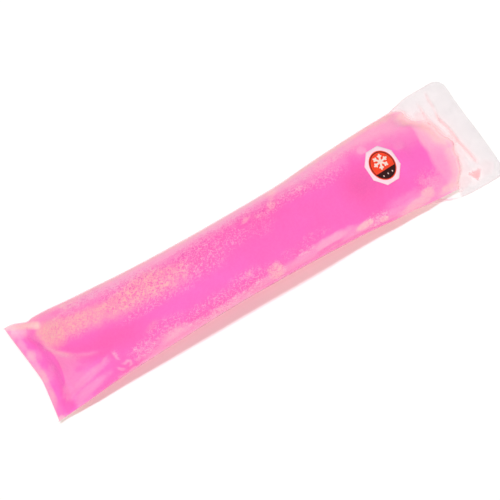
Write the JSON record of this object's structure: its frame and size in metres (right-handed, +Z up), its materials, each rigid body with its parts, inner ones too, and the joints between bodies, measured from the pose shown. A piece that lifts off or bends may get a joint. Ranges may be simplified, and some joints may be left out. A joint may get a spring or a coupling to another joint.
{
  "type": "ice pop",
  "caption": "Bright pink ice pop frozen in a clear flat-sealed film sleeve, with an empty flap at one end, a small label, lying on its flat underside.",
  "frame": {"origin": "on the resting plane, under the middle of the sleeve's box", "axes": "+Z up out of the resting plane, +X along the sleeve from its bottom seal to its empty flap, +Y across it"},
  "size_m": [0.1926, 0.0442, 0.0227],
  "materials": {
    "sleeve": "glossy clear film over bright pink ice",
    "label": "satin"
  },
  "bodies": {
    "root": {"filled_sleeve": "sleeve", "label": "label"}
  },
  "joints": []
}
